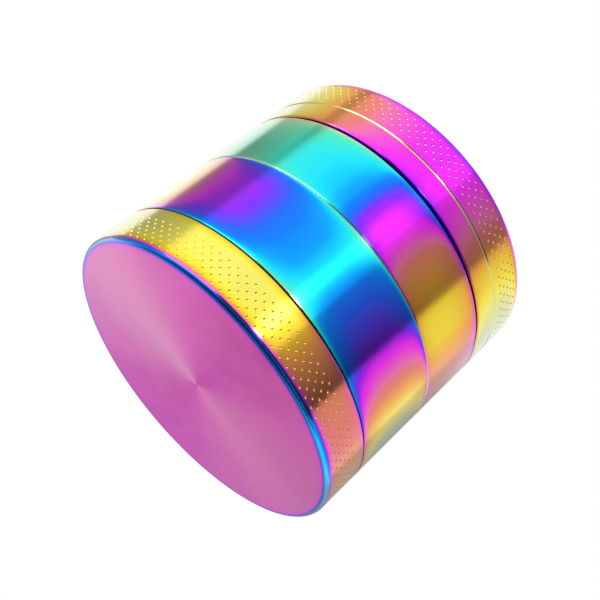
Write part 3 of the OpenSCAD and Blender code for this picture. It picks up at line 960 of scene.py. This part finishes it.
# %% Grinding chamber
chamber = mesh_object("grinding_chamber_body", [turned(
    [(0, SIEVE_TOP), (SPIGOT_BORE_R, SIEVE_TOP)] + spigot(SIEVE_TOP) + outer_wall(SIEVE_TOP, CHAMBER_TOP)
    + [(RING_SEAT_R, CHAMBER_TOP), (RING_SEAT_R, SEAT_END), (NECK_R, SEAT_END),
       (NECK_R, NECK_END - LEAD_IN), (NECK_R - LEAD_IN, NECK_END), (POCKET_R, NECK_END),
       (POCKET_R, CHAMBER_FLOOR_TOP), (POST_R, CHAMBER_FLOOR_TOP), (POST_R, POST_END),
       (MAGNET_POCKET_R, POST_END), (MAGNET_POCKET_R, LOW_MAGNET), (0, LOW_MAGNET)])])
combine(chamber, in_lanes("drop_hole_cutters", hole_pin(), 0, HOLE_PITCH), "DIFFERENCE")
combine(chamber, thread("chamber_thread", SPIGOT_R, SIEVE_TOP, 1, 0), "UNION")
combine(chamber, in_lanes("chamber_teeth", tooth_block(), 1, TOOTH_PITCH, CHAMBER_FLOOR_TOP, 0.5), "UNION")
finish_section(chamber, "grinding_section", "grinding_chamber", "coated_zinc_cyan",
               CHAMBER_FILM, CHAMBER_ENDS, (0.30, 0.95))

# %% Lid
GROOVE_RISE = 4.1    # from the lid's rim
GROOVE_Z = LID_RIM + GROOVE_RISE
GROOVE_WIDTH = 0.45
GROOVE_DEPTH = 0.12
GROOVE_SHAPE = ((-1, 0), (-0.5, 0.75), (0, 1), (0.5, 0.75), (1, 0))    # half-widths, share of depth
lid = mesh_object("lid_body", [
    turned([(0, LID_MAGNET_TOP), (MAGNET_POCKET_R, LID_MAGNET_TOP), (MAGNET_POCKET_R, LID_POST_END),
            (POST_R, LID_POST_END), (POST_R, LID_CEILING), (LID_BORE_R, LID_CEILING),
            (LID_BORE_R, LID_RIM + LEAD_IN), (LID_BORE_R + LEAD_IN, LID_RIM)]
           + seam_edge(LID_RIM, 1)
           + straight_wall(LID_RIM + SEAM_ROUND, GROOVE_Z - GROOVE_WIDTH / 2)[1:-1]
           + [(OUTER_R - GROOVE_DEPTH * depth, GROOVE_Z + GROOVE_WIDTH / 2 * place)
              for place, depth in GROOVE_SHAPE]
           + straight_wall(GROOVE_Z + GROOVE_WIDTH / 2, LID_DOT_EDGES[0])[1:]),
    *dotted_band(LID_DOTS, LID_DOT_EDGES, LID_DOT_SHIFT),
    turned(arc(OUTER_R - END_ROUND, LID_END - END_ROUND, END_ROUND, 0, 90) + [(0, LID_END)])])
lid_teeth = in_lanes("lid_teeth", tooth_block(), 0, TOOTH_PITCH, LID_CEILING, 0.5, upside_down=True)
combine(lid, lid_teeth, "UNION")
finish_section(lid, "lid_section", "lid", "coated_zinc_magenta", LID_FILM, LID_ENDS, (0.15, 0.60))

# %% [markdown]
# The sieve
#
# A real sieve is plain-woven steel wire, each wire going over one and under the next. A wire is a
# tube along a cosine wave, and the wires that cross it carry the opposite wave, so the two sets
# touch but never meet. Real wires are about 0.1 mm thick and 0.25 mm apart; they are drawn
# coarser, at 0.2 mm and 1 mm, so that single wires show.

# %% Woven sieve
WIRE_PITCH = 1.0
WIRE_R = (SCREEN_TOP - SCREEN_Z) / 4
WIRE_SIDES = 5
WIRE_STEPS = 4       # rings of points in each pitch
WIRE_MARGIN = 0.1
WIRE_REACH = SCREEN_R - WIRE_MARGIN
SCREEN_MIDDLE = (SCREEN_Z + SCREEN_TOP) / 2
STEEL_GRAIN = 0.08   # how far the grain moves a steel's roughness


def wires(way):
    """Parallel wires: wire k at k pitches from the middle has height r cos(pi (s / pitch + k))
    along its length s, and s stops where the round screen does. way is 1 along X, -1 along Y."""
    reach = int(WIRE_REACH / WIRE_PITCH)
    k = np.arange(-reach, reach + 1)
    across = k * WIRE_PITCH
    s = np.linspace(-reach, reach, 2 * reach * WIRE_STEPS + 1) * WIRE_PITCH
    half = np.sqrt(WIRE_REACH ** 2 - across ** 2)
    s = np.clip(s[None, :], -half[:, None], half[:, None])
    wave = way * WIRE_R * np.cos(math.pi * (s / WIRE_PITCH + k[:, None]))
    t = steps_round(WIRE_SIDES) * way
    side = across[:, None, None] + WIRE_R * np.cos(t) + 0 * s[:, :, None]
    height = SCREEN_MIDDLE + wave[:, :, None] + WIRE_R * np.sin(t)
    along = np.repeat(s[:, :, None], WIRE_SIDES, 2)
    points = np.stack([along, side, height] if way > 0 else [side, along, height], -1)
    rings = s.shape[1]
    start = (np.arange(len(k)) * rings * WIRE_SIDES)[:, None]
    walls = ring_quads(rings, WIRE_SIDES) + start[:, :, None]
    first_cap = start + np.arange(WIRE_SIDES)[::-1]
    last_cap = start + (rings - 1) * WIRE_SIDES + np.arange(WIRE_SIDES)
    points = points.reshape(-1, 3)
    return [(points, walls.reshape(-1, 4)), (points, np.concatenate([first_cap, last_cap]))]


def steel(name, roughness, grain_mm):
    """Stainless steel, or nickel plate, which looks much the same: a pale, slightly warm grey
    metal. Fine noise in its roughness breaks up its reflections."""
    material, tree, grain, tone = grained(name, grain_mm, ((0.2, "B9B6B0"), (0.8, "D2D0CB")))
    rough = rescale(tree, grain, (0, 1), (roughness - STEEL_GRAIN, roughness + STEEL_GRAIN))
    principled(tree, {"Base Color": tone, "Metallic": 1.0, "Roughness": rough})
    return material


screen = mesh_object("woven_sieve", wires(1) + wires(-1))
finish_piece(screen, steel("drawn_steel_wire", 0.3, 0.5), "sieve_section", "screen")
print("sieve wires", 2 * (2 * int(WIRE_REACH / WIRE_PITCH) + 1))

# %% [markdown]
# Small round pieces
#
# The ring that holds the sieve down and the two magnets are plain turned pieces. Their edges are
# broken by small bevels, which catch the light as real edges do.

# %% Rings and magnets
RING_BEVEL = 0.15
RING_SEGMENTS = 196
MAGNET_BEVEL = 0.25
MAGNET_SEGMENTS = 96


def bevelled_box(r0, r1, z0, z1, bevel):
    """A ring's cross-section with four bevelled corners, anticlockwise."""
    return [(r0 + bevel, z0), (r1 - bevel, z0), (r1, z0 + bevel), (r1, z1 - bevel),
            (r1 - bevel, z1), (r0 + bevel, z1), (r0, z1 - bevel), (r0, z0 + bevel)]


def magnet(name, low, high):
    rim = bevelled_box(0, MAGNET_R, low, high, MAGNET_BEVEL)[1:5]
    return mesh_object(name, [turned([(0, low), *rim, (0, high)], segments=MAGNET_SEGMENTS)])


snap_ring = mesh_object("sieve_snap_ring", [turned(
    bevelled_box(LEDGE_R, SCREEN_R, SCREEN_TOP, SNAP_TOP, RING_BEVEL),
    closed=True, segments=RING_SEGMENTS)])
finish_piece(snap_ring, steel("rolled_steel_ring", 0.28, 0.8), "screen_ring", "screen_ring")

nickel = steel("nickel_plate", 0.18, 1.2)
finish_piece(magnet("chamber_magnet_disc", LOW_MAGNET, POST_END), nickel,
             "chamber_magnet", "chamber_magnet")
finish_piece(magnet("lid_magnet_disc", LID_POST_END, LID_MAGNET_TOP), nickel,
             "lid_section", "lid_magnet")

# %% [markdown]
# Plastics
#
# The friction ring is moulded nylon, which is slightly waxy: a soft sheen, almost no grain. The
# scraper is moulded ABS with a fine spark-eroded texture, which scatters its highlights. Both are
# near black, and a matt plastic is drawn with no metal in it and an index of refraction near 1.5.


# %% Plastics
FLANGE_BEVEL = 0.1
NYLON_LEAD_IN = 0.2


def moulded_plastic(name, dark, light, roughness, ior, grain_mm, relief_mm):
    """Near-black plastic with a fine moulded grain in its height and its tone."""
    material, tree, grain, tone = grained(name, grain_mm, ((0.3, dark), (0.7, light)))
    bump = add(tree, "ShaderNodeBump", {"Height": grain, "Distance": relief_mm * MM})
    principled(tree, {"Base Color": tone, "Roughness": roughness, "IOR": ior, "Normal": bump.outputs[0]})
    return material


nylon_ring = mesh_object("nylon_friction_ring", [turned(
    [(RING_BORE_R, CHAMBER_TOP), (FLANGE_R - FLANGE_BEVEL, CHAMBER_TOP),
     (FLANGE_R, CHAMBER_TOP + FLANGE_BEVEL), (FLANGE_R, LID_RIM - FLANGE_BEVEL),
     (FLANGE_R - FLANGE_BEVEL, LID_RIM), (RING_R, LID_RIM),
     (RING_R, RING_TOP - NYLON_LEAD_IN), (RING_R - NYLON_LEAD_IN, RING_TOP), (RING_BORE_R, RING_TOP)],
    closed=True, segments=RING_SEGMENTS)])
finish_piece(nylon_ring, moulded_plastic("moulded_nylon", "121214", "1A1A1C", 0.45, 1.53, 0.6, 0.002),
             "friction_ring", "friction_ring")

# %% [markdown]
# The scraper
#
# The loose scraper is a rounded triangle, like a guitar pick. Its outline is a string pulled round
# three discs: in each direction the disc that reaches furthest gives the point. A smaller offset
# of the same string makes the bevels, and a dished hollow on top gives the finger a hold.

# %% Scraper
SCRAPER_REACH = 7.0
SCRAPER_DISCS = np.array([(0, 1.4), (120, 3.2), (240, 3.2)])     # direction in degrees, radius in mm
SCRAPER_STEPS = 120
SCRAPER_BEVEL = 0.25
SCRAPER_DISH = 0.35
# rings of the hollow on top: (share of the outline's size, share of the hollow's depth)
DISH_RINGS = ((0.66, 0.0), (0.58, 0.45), (0.45, 0.8), (0.25, 0.95), (0.0, 1.0))


def string_outline(inset):
    """In direction t, the point c + r (cos t, sin t) of the disc for which c . (cos t, sin t) + r
    is greatest, with every radius smaller by the inset."""
    t = steps_round(SCRAPER_STEPS)
    way = np.stack([np.cos(t), np.sin(t)], -1)
    turn = np.radians(SCRAPER_DISCS[:, 0])
    centres = SCRAPER_REACH * np.stack([np.cos(turn), np.sin(turn)], -1)
    radii = SCRAPER_DISCS[:, 1]
    best = np.argmax(way @ centres.T + radii, axis=1)
    return centres[best] + (radii[best] - inset)[:, None] * way


def scraper_parts():
    """Outlines stacked from the bottom up, then drawn in over the dished top to its middle."""
    low, high = CATCHER_FLOOR, SCRAPER_TOP
    full, small = string_outline(0), string_outline(SCRAPER_BEVEL)
    middle = small.mean(0)
    rings = [(middle + 0 * small, low), (small, low), (full, low + SCRAPER_BEVEL),
             (full, high - SCRAPER_BEVEL), (small, high)]
    for share, sink in DISH_RINGS:
        rings.append((middle + share * (small - middle), high - sink * SCRAPER_DISH))
    points = np.concatenate([np.column_stack([ring, np.full(SCRAPER_STEPS, z)]) for ring, z in rings])
    return [(points, ring_quads(len(rings), SCRAPER_STEPS))]


scraper = mesh_object("moulded_scraper", scraper_parts())
finish_piece(scraper, moulded_plastic("moulded_abs", "2A2C30", "34373C", 0.5, 1.54, 0.25, 0.01),
             "scraper", "scraper")
